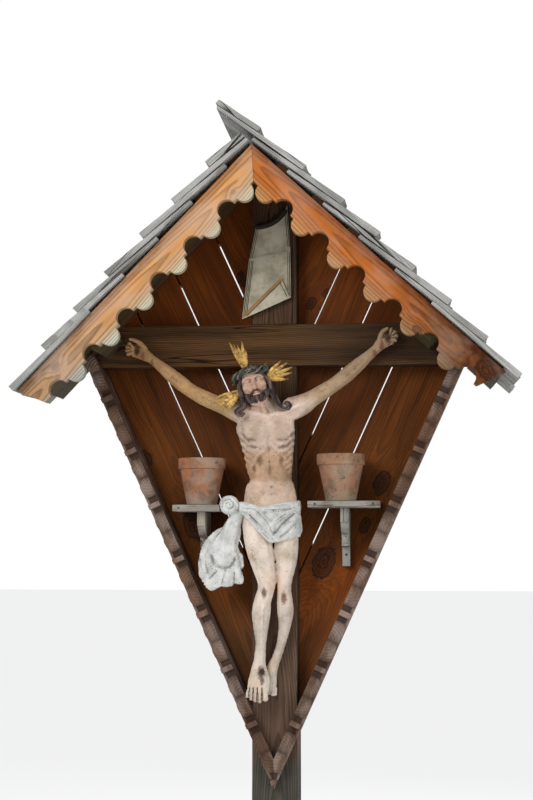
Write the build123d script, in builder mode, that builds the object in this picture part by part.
from build123d import *
from math import cos, radians, sin, tan
import os

os.makedirs("parts", exist_ok=True)

# Wayside shrine: a post carrying a V-shaped board backing, a crossbeam with a carved figure
# and a small shingled saddle roof. Millimetres, ground at Z 0, the front faces -Y.

# Post and crossbeam: the beam lies at a rise over the tip of the V
post_width = 142.0
post_depth = 140.0
beam_rise = 1306.0
beam_height = 133.0
beam_depth = 70.0

# V-shaped side boards
v_tip_height = 835.0
v_angle = 24.56
side_board_thickness = 38.0
side_board_front = -110.0
side_board_back = 24.0
notch_pitch = 185.0
notch_width = 18.0
notch_depth = 9.0
notch_block = 16.0
notch_count = 7
notch_first = 205.0
cusp_width = 12.0
cusp_depth = 5.0

# Back boards: distances of the open slits from the outer line of the V, measured level
back_board_thickness = 24.0
slit_width = 5.0
right_slits = (228.0, 387.0, 540.0)
left_slits = (227.0, 409.0, 596.0)
cleat_width = 40.0
cleat_depth = 36.0
cleat_rise = 355.0
cleat_drop = 299.2

# Roof: the two slopes differ a little, as on the hand-built original
ridge_x = -43.9
ridge_z = 2789.2
pitch_right = 43.6
pitch_left = 46.6
mitre_lean = 2.9
roof_front = -345.0
roof_back = 100.0
barge_front = -330.0
barge_thickness = 28.0
barge_length_right = 1030.0
barge_length_left = 1033.0
barge_widening = 8.0
barge_drop_right = 81.0
barge_drop_left = 83.5
barge_heel = 35.0
lobe_pitch = 149.0
lobe_radius = 30.0
lobe_count = 6
lobe_first_right = 134.0
lobe_first_left = 123.0
lining_thickness = 20.0
lining_setback = 53.0
eave_lining_clearance = 16.0
inner_rafter_depth = 35.0
rear_rafter_thickness = 36.0
rear_rafter_depth = 55.0
purlin_reach_right = 176.6
purlin_reach_left = 122.2
purlin_width = 75.0
purlin_underside = 71.0

# Shingle courses and their battens
course_count = 7
eave_right = 1072.0
eave_left = 1046.0
exposure_right = 147.5
exposure_left = 151.0
shingle_length = 340.0
butt_thickness = 22.0
tail_thickness = 11.0
tail_rest = 6.0
eave_lift_right = 16.0
eave_lift_left = 12.0
course_gap = 0.2
batten_width = 40.0
batten_offset = 100.0
batten_count = 6
eave_batten_offset = 95.0
cap_butt = -1.0
cap_tail = -165.0
cap_thickness = 16.0

# Shelves, brackets and pots: the shelves hang at a rise over the tip of the V
shelf_width_left = 148.0
shelf_width_right = 222.0
shelf_depth = 170.0
shelf_thickness = 22.0
shelf_rise_left = 868.0
shelf_rise_right = 879.0
shelf_centre_left = -234.0
shelf_centre_right = 221.0
bracket_centre = 222.0
bracket_width = 25.0
bracket_height = 180.0
bracket_reach = 138.0
bracket_fascia = 43.0
pot_rim_diameter = 150.0
pot_base_diameter = 95.0
pot_height = 146.0
pot_band_height = 34.0
pot_wall = 8.0
pot_hole = 14.0
pot_centre_left = -227.0
pot_centre_right = 209.0
pot_centre_y = -88.0

# Title scroll, hung at a drop from the ridge
scroll_drop = 501.2
scroll_leaf = 10.0
scroll_fold = 5.0
scroll_roll = 9.0

# Carved figure: heights over the soles, which lie at a drop from the beam
figure_drop = 1029.0
figure_y = -122.0
arm_y = -112.0
hand_y = -88.0
cloth_thickness = 11.0
tail_clearance = 2.0
head_centre = (-52.0, -168.0, 960.0)
head_radius = 46.0
crown_overhang = 10.0
crown_height = 17.0
ray_thickness = 3.0
nail_diameter = 8.0

half_post = post_width / 2
post_front = -post_depth / 2
v_slope = tan(radians(v_angle))
side_board_level = side_board_thickness / cos(radians(v_angle))
board_back = back_board_thickness
beam_bottom = v_tip_height + beam_rise
shelf_top_left = v_tip_height + shelf_rise_left
shelf_top_right = v_tip_height + shelf_rise_right


def slope_angle(side):
    return radians(pitch_right if side > 0 else pitch_left)


def slope_plane(side, y):
    # Origin at the ridge, local x down the slope, local y out of the roof
    a = slope_angle(side)
    return Plane(
        origin=(ridge_x, y, ridge_z), x_dir=(side * cos(a), 0, -sin(a)), z_dir=(0, -side, 0)
    )


def roof_height(x):
    if x >= ridge_x:
        return ridge_z - (x - ridge_x) * tan(slope_angle(1))
    return ridge_z - (ridge_x - x) * tan(slope_angle(-1))


def mitre_plane():
    lean = radians(mitre_lean)
    return Plane(origin=(ridge_x, 0, ridge_z), x_dir=(0, 1, 0), z_dir=(cos(lean), 0, sin(lean)))


def front_plane(y_back):
    # Upright sketch plane at the given depth; extruding grows towards the viewer
    return Plane.XZ.offset(-y_back)


def roof_outline():
    # Keeps what lies under both roof slopes
    Polygon(
        (-1200, 0),
        (-1200, roof_height(-1200)),
        (ridge_x, ridge_z),
        (1200, roof_height(1200)),
        (1200, 0),
        align=None,
        mode=Mode.INTERSECT,
    )


def v_line(z, level_offset=0.0):
    # Half width of the V at a height, moved in by a level distance
    return v_slope * (z - v_tip_height) - level_offset


def v_meets_roof(side):
    # Distance down the slope at which the outer line of the V meets the roof
    a = slope_angle(side)
    return (v_slope * (ridge_z - v_tip_height) - side * ridge_x) / (cos(a) + v_slope * sin(a))


def v_strip(side, offset_out, offset_in):
    # Strip of boarding parallel to one edge of the V
    low = v_tip_height - 400
    high = 3000.0
    Polygon(
        (side * v_line(low, offset_out), low),
        (side * v_line(high, offset_out), high),
        (side * v_line(high, offset_in), high),
        (side * v_line(low, offset_in), low),
        align=None,
    )


def half_plane(side, x_from):
    # Keeps what lies outside a level distance from the middle
    Polygon(
        (side * x_from, 0),
        (side * 2000, 0),
        (side * 2000, 3200),
        (side * x_from, 3200),
        align=None,
        mode=Mode.INTERSECT,
    )


def save(builder, name):
    builder.part.label = name
    export_step(builder.part, "parts/" + name + ".step")


# Post, housed for the crossbeam and cut to the roof at its head
with BuildPart() as post:
    with BuildSketch(front_plane(post_depth / 2)):
        with Locations((0, 1500)):
            Rectangle(post_width, 3000)
        roof_outline()
    extrude(amount=post_depth)
    with Locations((0, post_front + beam_depth / 2, beam_bottom + beam_height / 2)):
        Box(post_width, beam_depth, beam_height, mode=Mode.SUBTRACT)
save(post, "post")

# Crossbeam, cut to the side boards and to the roof slopes
with BuildPart() as crossbeam:
    with BuildSketch(front_plane(post_front + beam_depth)):
        with Locations((0, beam_bottom + beam_height / 2)):
            Rectangle(2000, beam_height)
        roof_outline()
        inner_height = v_tip_height + side_board_level / v_slope
        Polygon(
            (0, inner_height),
            (v_line(3000, side_board_level), 3000),
            (-v_line(3000, side_board_level), 3000),
            align=None,
            mode=Mode.INTERSECT,
        )
    extrude(amount=beam_depth)
save(crossbeam, "crossbeam")


def side_board(side):
    with BuildPart() as board:
        with BuildSketch(front_plane(side_board_back)):
            v_strip(side, 0, side_board_level)
            roof_outline()
            half_plane(side, 0)
        extrude(amount=side_board_back - side_board_front)
        with Locations((0, 0, 1500)):
            Box(post_width, post_depth, 3000, mode=Mode.SUBTRACT)
        # Pairs of chip-carved notches across the front edge
        along = Plane(
            origin=(0, side_board_front, v_tip_height),
            x_dir=(side * sin(radians(v_angle)), 0, cos(radians(v_angle))),
            z_dir=(0, -1, 0),
        )
        spots = [
            (notch_first + notch_pitch * i + shift, 0)
            for i in range(notch_count)
            for shift in (-(notch_block + notch_width) / 2, (notch_block + notch_width) / 2)
        ]
        with BuildSketch(along):
            with Locations(*spots):
                Rectangle(notch_width, 4 * side_board_thickness)
        extrude(amount=-notch_depth, mode=Mode.SUBTRACT)
        # A cusp between the two carved lobes of every pitch
        across = Plane(
            origin=along.origin,
            x_dir=along.x_dir,
            z_dir=(-cos(radians(v_angle)), 0, side * sin(radians(v_angle))),
        )
        with BuildSketch(across):
            for i in range(notch_count - 1):
                middle = notch_first + notch_pitch * (i + 0.5)
                Polygon(
                    (middle - cusp_width / 2, -1),
                    (middle + cusp_width / 2, -1),
                    (middle, cusp_depth),
                    align=None,
                )
        extrude(amount=4 * side_board_thickness, both=True, mode=Mode.SUBTRACT)
    return board


side_board_left = side_board(-1)
save(side_board_left, "side_board_left")
side_board_right = side_board(1)
save(side_board_right, "side_board_right")


def back_board(side, offset_out, offset_in):
    with BuildPart() as board:
        with BuildSketch(front_plane(board_back)):
            v_strip(side, offset_out, offset_in)
            roof_outline()
            half_plane(side, half_post)
        extrude(amount=back_board_thickness)
    return board


for side, slits, word in ((-1, left_slits, "left"), (1, right_slits, "right")):
    starts = [side_board_level] + [d + slit_width / 2 for d in slits]
    ends = [d - slit_width / 2 for d in slits] + [2000.0]
    for number, (start, end) in enumerate(zip(starts, ends), 1):
        save(back_board(side, start, end), "back_board_" + word + "_" + str(number))


def back_cleat(side):
    with BuildPart() as cleat:
        bottom = v_tip_height + cleat_rise
        top = ridge_z - cleat_drop
        beside = side * (half_post + cleat_width / 2)
        with Locations((beside, board_back + cleat_depth / 2, (bottom + top) / 2)):
            Box(cleat_width, cleat_depth, top - bottom)
    return cleat


back_cleat_left = back_cleat(-1)
save(back_cleat_left, "back_cleat_left")
back_cleat_right = back_cleat(1)
save(back_cleat_right, "back_cleat_right")


def barge_board(side):
    length = barge_length_right if side > 0 else barge_length_left
    drop = barge_drop_right if side > 0 else barge_drop_left
    first = lobe_first_right if side > 0 else lobe_first_left
    lobes = [(first + lobe_pitch * i, -drop) for i in range(lobe_count)]
    hollows = [(x + lobe_pitch / 2, y) for x, y in lobes]
    with BuildPart() as board:
        with BuildSketch(slope_plane(side, barge_front)):
            with BuildLine():
                # The upper edge stands out of the slope a little towards the eave
                Polyline(
                    (-200, 0), (0, 0), (length, barge_widening), (length - barge_heel, -drop), (-200, -drop),
                    close=True,
                )
            make_face()
            with Locations(*lobes):
                Circle(lobe_radius)
            with Locations(*hollows):
                Circle(lobe_radius, mode=Mode.SUBTRACT)
        extrude(amount=-side * barge_thickness)
        split(bisect_by=mitre_plane(), keep=Keep.TOP if side > 0 else Keep.BOTTOM)
    return board


barge_board_left = barge_board(-1)
save(barge_board_left, "barge_board_left")
barge_board_right = barge_board(1)
save(barge_board_right, "barge_board_right")


def rafter_side(length, depth):
    # Side view of a rafter whose top edge lies in the roof slope
    Polygon((-300, 0), (length, 0), (length, -depth), (-300, -depth), align=None)


def inner_rafter(side):
    with BuildPart() as rafter:
        with BuildSketch(slope_plane(side, side_board_front)):
            rafter_side(v_meets_roof(side), inner_rafter_depth)
        extrude(amount=-side * (post_front - side_board_front))
        split(bisect_by=mitre_plane(), keep=Keep.TOP if side > 0 else Keep.BOTTOM)
        # The foot is cut to the inner face of the side board
        a = radians(v_angle)
        foot = Plane(
            origin=(-side * side_board_level, 0, v_tip_height),
            x_dir=(0, 1, 0),
            z_dir=(side * cos(a), 0, -sin(a)),
        )
        split(bisect_by=foot, keep=Keep.BOTTOM)
    return rafter


inner_rafter_left = inner_rafter(-1)
save(inner_rafter_left, "inner_rafter_left")
inner_rafter_right = inner_rafter(1)
save(inner_rafter_right, "inner_rafter_right")


def roof_lining(side):
    # Boards under the battens, between gable board and backing, and out to the back at the eave
    end = (eave_right if side > 0 else eave_left) - lining_setback
    front = barge_front + barge_thickness
    start = v_meets_roof(side) + eave_lining_clearance
    with BuildPart() as lining:
        with BuildSketch(slope_plane(side, front)):
            rafter_side(end, lining_thickness)
        extrude(amount=-side * (side_board_front - front))
        with BuildSketch(slope_plane(side, side_board_front)):
            Polygon(
                (start, 0),
                (end, 0),
                (end, -lining_thickness),
                (start, -lining_thickness),
                align=None,
            )
        extrude(amount=-side * (board_back + rear_rafter_thickness - side_board_front))
        split(bisect_by=mitre_plane(), keep=Keep.TOP if side > 0 else Keep.BOTTOM)
    return lining


roof_lining_left = roof_lining(-1)
save(roof_lining_left, "roof_lining_left")
roof_lining_right = roof_lining(1)
save(roof_lining_right, "roof_lining_right")


def purlin(side, rafter):
    # Short purlin from the gable board to the crossbeam, cut over the inner rafter
    start = v_meets_roof(side) - (purlin_reach_right if side > 0 else purlin_reach_left)
    front = barge_front + barge_thickness
    with BuildPart() as piece:
        with BuildSketch(slope_plane(side, front)):
            Polygon(
                (start, -lining_thickness),
                (start + purlin_width, -lining_thickness),
                (start + purlin_width, -purlin_underside),
                (start, -purlin_underside),
                align=None,
            )
        extrude(amount=-side * (post_front - front))
        add(rafter.part, mode=Mode.SUBTRACT)
    return piece


purlin_left = purlin(-1, inner_rafter_left)
save(purlin_left, "purlin_left")
purlin_right = purlin(1, inner_rafter_right)
save(purlin_right, "purlin_right")


def rear_rafter(side):
    with BuildPart() as rafter:
        with BuildSketch(slope_plane(side, board_back)):
            rafter_side(v_meets_roof(side), rear_rafter_depth)
        extrude(amount=-side * rear_rafter_thickness)
        split(
            bisect_by=Plane(origin=(side * half_post, 0, 0), x_dir=(0, 1, 0), z_dir=(side, 0, 0)),
            keep=Keep.TOP,
        )
    return rafter


rear_rafter_left = rear_rafter(-1)
save(rear_rafter_left, "rear_rafter_left")
rear_rafter_right = rear_rafter(1)
save(rear_rafter_right, "rear_rafter_right")


def courses(side):
    # Each course lies on the one below it: (butt distance, butt height, slope of its underside)
    eave = eave_right if side > 0 else eave_left
    exposure = exposure_right if side > 0 else exposure_left
    taper = (butt_thickness - tail_thickness) / shingle_length
    rows = []
    butt = eave
    height = eave_lift_right if side > 0 else eave_lift_left
    for i in range(course_count):
        fall = (height - tail_rest) / shingle_length
        rows.append((butt, height, fall))
        height = height - fall * exposure + butt_thickness - taper * exposure + course_gap
        butt = butt - exposure
    return rows


def roof_battens(side):
    rows = courses(side)[:batten_count]
    spots = [(row, row[0] - shingle_length + batten_offset) for row in rows]
    spots.append((rows[0], rows[0][0] - eave_batten_offset))
    with BuildPart() as battens:
        with BuildSketch(slope_plane(side, barge_front + barge_thickness)):
            for (butt, height, fall), near in spots:
                tail = butt - shingle_length
                far = near + batten_width
                with BuildLine():
                    Polyline(
                        (near, 0),
                        (far, 0),
                        (far, tail_rest + fall * (far - tail)),
                        (near, tail_rest + fall * (near - tail)),
                        close=True,
                    )
                make_face()
        extrude(amount=-side * (roof_back - 5 - barge_front - barge_thickness))
    return battens


roof_battens_left = roof_battens(-1)
save(roof_battens_left, "roof_battens_left")
roof_battens_right = roof_battens(1)
save(roof_battens_right, "roof_battens_right")


def shingles(side):
    rows = courses(side)
    with BuildPart() as roofing:
        with BuildSketch(slope_plane(side, roof_front)):
            for butt, height, fall in rows:
                tail = butt - shingle_length
                with BuildLine():
                    Polyline(
                        (butt, height),
                        (tail, tail_rest),
                        (tail, tail_rest + tail_thickness),
                        (butt, height + butt_thickness),
                        close=True,
                    )
                make_face()
            if side > 0:
                # Short cap board lying on the top course, past the ridge
                butt, height, fall = rows[-1]
                rise = (height + butt_thickness - tail_rest - tail_thickness) / shingle_length
                tail = butt - shingle_length
                low = tail_rest + tail_thickness + course_gap
                near = low + rise * (cap_tail - tail)
                far = low + rise * (cap_butt - tail)
                with BuildLine():
                    Polyline(
                        (cap_butt, far),
                        (cap_tail, near),
                        (cap_tail, near + cap_thickness),
                        (cap_butt, far + cap_thickness),
                        close=True,
                    )
                make_face()
        extrude(amount=-side * (roof_back - roof_front))
        if side < 0:
            # The left courses stop under the right slope, which runs on over the ridge
            a = slope_angle(1)
            edge = Plane(origin=(ridge_x, 0, ridge_z), x_dir=(0, 1, 0), z_dir=(sin(a), 0, cos(a)))
            split(bisect_by=edge, keep=Keep.BOTTOM)
    return roofing


shingles_left = shingles(-1)
save(shingles_left, "shingles_left")
shingles_right = shingles(1)
save(shingles_right, "shingles_right")


def shelf(centre, top, width):
    with BuildPart() as board:
        with Locations((centre, -shelf_depth / 2, top - shelf_thickness / 2)):
            Box(width, shelf_depth, shelf_thickness)
    return board


shelf_left = shelf(shelf_centre_left, shelf_top_left, shelf_width_left)
save(shelf_left, "shelf_left")
shelf_right = shelf(shelf_centre_right, shelf_top_right, shelf_width_right)
save(shelf_right, "shelf_right")


def shelf_bracket(centre, top):
    # Moulded profile drawn from the side: upright fascia, cove, waist, bead and leg on the boards
    under = top - shelf_thickness
    side_plane = Plane(origin=(centre - bracket_width / 2, 0, under), x_dir=(0, -1, 0), z_dir=(-1, 0, 0))
    with BuildPart() as bracket:
        with BuildSketch(side_plane):
            with BuildLine():
                Line((0, -bracket_height), (0, 0))
                Line((0, 0), (bracket_reach, 0))
                Line((bracket_reach, 0), (bracket_reach, -bracket_fascia))
                Line((bracket_reach, -bracket_fascia), (bracket_reach - 8, -bracket_fascia - 3))
                ThreePointArc(
                    (bracket_reach - 8, -bracket_fascia - 3),
                    (bracket_reach - 34, -bracket_fascia - 24),
                    (bracket_reach - 68, -bracket_fascia - 37),
                )
                Line((bracket_reach - 68, -bracket_fascia - 37), (bracket_reach - 78, -bracket_fascia - 66))
                Line((bracket_reach - 78, -bracket_fascia - 66), (bracket_reach - 72, -bracket_fascia - 68))
                Line((bracket_reach - 72, -bracket_fascia - 68), (bracket_reach - 72, -bracket_fascia - 73))
                Line((bracket_reach - 72, -bracket_fascia - 73), (30, -bracket_fascia - 78))
                Line((30, -bracket_fascia - 78), (24, -bracket_height))
                Line((24, -bracket_height), (0, -bracket_height))
            make_face()
        extrude(amount=-bracket_width)
    return bracket


shelf_bracket_left = shelf_bracket(-bracket_centre, shelf_top_left)
save(shelf_bracket_left, "shelf_bracket_left")
shelf_bracket_right = shelf_bracket(bracket_centre, shelf_top_right)
save(shelf_bracket_right, "shelf_bracket_right")


def flower_pot(centre, top):
    r0 = pot_base_diameter / 2
    r1 = pot_rim_diameter / 2
    band = pot_height - pot_band_height
    inner = r1 - pot_wall
    with BuildPart() as pot:
        with BuildSketch(Plane.XZ):
            with BuildLine():
                Polyline(
                    (pot_hole / 2, 0),
                    (r0, 0),
                    (r1 - 6, band),
                    (r1, band),
                    (r1, pot_height),
                    (inner, pot_height),
                    (inner, band),
                    (inner - 4, band - 6),
                    (r0 - pot_wall, pot_wall + 2),
                    (pot_hole / 2, pot_wall + 2),
                    close=True,
                )
            make_face()
        revolve(axis=Axis.Z)
    with BuildPart() as placed:
        with Locations((centre, pot_centre_y, top)):
            add(pot.part)
    return placed


flower_pot_left = flower_pot(pot_centre_left, shelf_top_left)
save(flower_pot_left, "flower_pot_left")
flower_pot_right = flower_pot(pot_centre_right, shelf_top_right)
save(flower_pot_right, "flower_pot_right")

# Blank scroll on the post above the figure: upper leaf with a rolled head, lower leaf and its
# turned-up corner
scroll_z = ridge_z - scroll_drop
scroll_front = post_front - scroll_leaf
with BuildPart() as title_scroll:
    with BuildSketch(front_plane(post_front)):
        with BuildLine():
            Line((-79, scroll_z + 195), (-57, scroll_z + 303))
            ThreePointArc((-57, scroll_z + 303), (2, scroll_z + 320), (42, scroll_z + 367))
            Line((42, scroll_z + 367), (52, scroll_z + 219))
            Line((52, scroll_z + 219), (54, scroll_z + 68))
            Line((54, scroll_z + 68), (-102, scroll_z))
            Line((-102, scroll_z), (-79, scroll_z + 195))
        make_face()
    extrude(amount=scroll_leaf)
    with BuildSketch(front_plane(scroll_front)):
        Polygon(
            (-79, scroll_z + 195),
            (52, scroll_z + 219),
            (54, scroll_z + 68),
            (-102, scroll_z),
            align=None,
        )
    extrude(amount=scroll_fold)
    with BuildSketch(front_plane(scroll_front - scroll_fold)):
        Polygon((-102, scroll_z), (27, scroll_z + 127), (54, scroll_z + 68), align=None)
    extrude(amount=scroll_fold)
    # The head is rolled forward along the hollow upper edge
    with BuildLine(front_plane(post_front - scroll_roll)):
        head_edge = ThreePointArc((-57, scroll_z + 299), (2, scroll_z + 315), (36, scroll_z + 352))
    with BuildSketch(Plane(origin=head_edge @ 0, z_dir=head_edge % 0)):
        Circle(scroll_roll)
    sweep()
save(title_scroll, "title_scroll")


def carved(sections, turn=0.0):
    # Rounded carving lofted through ellipses: x, y, z, half width, half depth.
    # The turn leans the section planes sideways, for the arms.
    a = radians(turn)
    with BuildPart() as body:
        for x, y, z, half_width, half_depth in sections:
            with BuildSketch(Plane(origin=(x, y, z), x_dir=(cos(a), 0, -sin(a)), z_dir=(sin(a), 0, cos(a)))):
                Ellipse(half_width, half_depth)
        loft()
    return body.part


def back_plane():
    # The figure is carved flat where it lies against the post and the beam
    return Plane(origin=(0, post_front, 0), x_dir=(1, 0, 0), z_dir=(0, -1, 0))


fy = figure_y
fz = beam_bottom - figure_drop
hx, hy = head_centre[:2]
hz = fz + head_centre[2]
trunk = carved(
    (
        (-4, fy, fz + 528, 92, 58),
        (-5, fy, fz + 605, 89, 56),
        (-10, fy, fz + 673, 72, 50),
        (-12, fy, fz + 748, 84, 56),
        (-13, fy, fz + 823, 90, 58),
        (-16, fy, fz + 873, 92, 50),
        (-22, fy - 6, fz + 900, 60, 42),
    )
)
neck = carved(
    (
        (-24, fy - 8, fz + 878, 38, 36),
        (-36, fy - 20, fz + 912, 31, 32),
        (-42, fy - 32, fz + 938, 30, 32),
    )
)
leg_left = carved(
    (
        (-50, fy, fz + 578, 42, 50),
        (-52, fy - 8, fz + 513, 46, 48),
        (-20, fy - 36, fz + 373, 34, 37),
        (-32, fy - 22, fz + 296, 31, 35),
        (-40, fy - 10, fz + 133, 21, 25),
        (-41, fy - 30, fz + 73, 33, 25),
        (-42, fy - 46, fz, 24, 14),
    )
)
leg_right = carved(
    (
        (44, fy, fz + 578, 42, 50),
        (50, fy - 4, fz + 513, 46, 46),
        (39, fy - 26, fz + 328, 30, 34),
        (36, fy - 14, fz + 263, 29, 33),
        (-8, fy + 12, fz + 128, 21, 23),
        (-26, fy + 16, fz + 68, 24, 24),
        (-36, fy + 4, fz + 16, 20, 14),
    )
)

# Trunk and legs, carved flat at the back
with BuildPart() as figure_torso:
    add(trunk)
    add(neck)
    add(leg_left)
    add(leg_right)
    split(bisect_by=back_plane(), keep=Keep.TOP)
save(figure_torso, "figure_torso")

with BuildPart() as figure_head:
    add(
        carved(
            (
                (hx - 9, hy - 16, hz - 60, 17, 16),
                (hx - 8, hy - 14, hz - 44, 30, 32),
                (hx - 4, hy - 6, hz - 10, 42, 46),
                (hx, hy, hz + 24, 44, 50),
                (hx + 1, hy + 2, hz + 50, 34, 40),
                (hx + 1, hy + 2, hz + 62, 16, 20),
            )
        )
    )
    add(figure_torso.part, mode=Mode.SUBTRACT)
save(figure_head, "figure_head")

with BuildPart() as figure_hair:
    add(
        carved(
            (
                (hx + 22, hy + 40, hz - 96, 58, 20),
                (hx + 12, hy + 34, hz - 50, 62, 30),
                (hx + 4, hy + 26, hz, 56, 40),
                (hx, hy + 12, hz + 36, 50, 50),
                (hx, hy + 4, hz + 62, 34, 36),
                (hx, hy + 4, hz + 68, 16, 18),
            )
        )
    )
    add(figure_head.part, mode=Mode.SUBTRACT)
    add(figure_torso.part, mode=Mode.SUBTRACT)
    split(bisect_by=back_plane(), keep=Keep.TOP)
save(figure_hair, "figure_hair")


def figure_arm(sections, turn):
    limb = carved(sections, turn)
    with BuildPart() as arm:
        add(limb)
        split(bisect_by=back_plane(), keep=Keep.TOP)
        add(figure_torso.part, mode=Mode.SUBTRACT)
        add(figure_head.part, mode=Mode.SUBTRACT)
        add(figure_hair.part, mode=Mode.SUBTRACT)
    return arm


figure_arm_left = figure_arm(
    (
        (-70, fy, fz + 860, 36, 36),
        (-132, fy, fz + 886, 32, 33),
        (-262, arm_y - 6, fz + 966, 25, 26),
        (-320, arm_y - 2, fz + 1006, 26, 26),
        (-394, hand_y, fz + 1055, 15, 17),
        (-420, hand_y, fz + 1071, 27, 18),
        (-446, hand_y, fz + 1087, 24, 17),
    ),
    -60,
)
save(figure_arm_left, "figure_arm_left")
figure_arm_right = figure_arm(
    (
        (40, fy, fz + 873, 36, 36),
        (96, fy, fz + 910, 32, 33),
        (197, arm_y - 6, fz + 992, 25, 26),
        (250, arm_y - 2, fz + 1031, 26, 26),
        (322, hand_y, fz + 1079, 15, 17),
        (346, hand_y, fz + 1098, 27, 18),
        (372, hand_y, fz + 1120, 24, 17),
    ),
    52,
)
save(figure_arm_right, "figure_arm_right")

# Loincloth with its knot and the tail hanging beside the thigh
cloth = cloth_thickness
wrap = carved(
    (
        (-2, fy - 6, fz + 466, 86 + cloth, 56 + cloth),
        (-3, fy - 4, fz + 538, 93 + cloth, 56 + cloth),
        (-5, fy, fz + 610, 86 + cloth, 52 + cloth),
    )
)
with BuildPart() as loincloth:
    add(wrap)
    with Locations((-126, fy - 30, fz + 586)):
        Sphere(29)
    # The tail hangs in front of the side boards
    with BuildSketch(front_plane(side_board_front - tail_clearance)):
        Polygon(
            (-84, fz + 578),
            (-128, fz + 578),
            (-180, fz + 488),
            (-232, fz + 423),
            (-222, fz + 368),
            (-132, fz + 336),
            (-84, fz + 368),
            align=None,
        )
    extrude(amount=30)
    split(bisect_by=back_plane(), keep=Keep.TOP)
    add(figure_torso.part, mode=Mode.SUBTRACT)
save(loincloth, "loincloth")

with BuildPart() as crown_of_thorns:
    with BuildSketch(Plane(origin=(hx, hy + 4, hz + 24), z_dir=(-0.12, -0.25, 1))):
        Circle(head_radius + crown_overhang)
        Circle(head_radius - crown_overhang, mode=Mode.SUBTRACT)
    extrude(amount=crown_height)
    add(figure_head.part, mode=Mode.SUBTRACT)
    add(figure_hair.part, mode=Mode.SUBTRACT)
save(crown_of_thorns, "crown_of_thorns")

# Three fans of rays standing out behind the head
with BuildPart() as halo_rays:
    for angle, inner, outer, spread in ((112, 36, 138, 26), (16, 36, 122, 26), (206, 40, 142, 26)):
        a = radians(angle)
        fan = Plane(origin=(hx, hy + 22, hz + 8), x_dir=(cos(a), 0, sin(a)), z_dir=(0, -1, 0))
        with BuildSketch(fan):
            Polygon(
                (inner, -spread / 3),
                (outer * 0.9, -spread),
                (outer * 0.8, -spread / 2),
                (outer, 0),
                (outer * 0.8, spread / 2),
                (outer * 0.9, spread),
                (inner, spread / 3),
                align=None,
            )
        extrude(amount=ray_thickness)
    add(figure_head.part, mode=Mode.SUBTRACT)
    add(figure_hair.part, mode=Mode.SUBTRACT)
    add(crown_of_thorns.part, mode=Mode.SUBTRACT)
save(halo_rays, "halo_rays")

# Nail heads standing off the palms and the crossed feet
with BuildPart() as figure_nails:
    for x, y, z in ((-432, hand_y - 24, fz + 1078), (358, hand_y - 24, fz + 1108), (-30, fy - 66, fz + 83)):
        with Locations(Plane(origin=(x, y, z), z_dir=(0, 1, 0))):
            Cylinder(nail_diameter / 2, 26, align=(Align.CENTER, Align.CENTER, Align.MIN))
            Cylinder(nail_diameter, 3, align=(Align.CENTER, Align.CENTER, Align.MIN))
    add(figure_arm_left.part, mode=Mode.SUBTRACT)
    add(figure_arm_right.part, mode=Mode.SUBTRACT)
    add(figure_torso.part, mode=Mode.SUBTRACT)
save(figure_nails, "figure_nails")
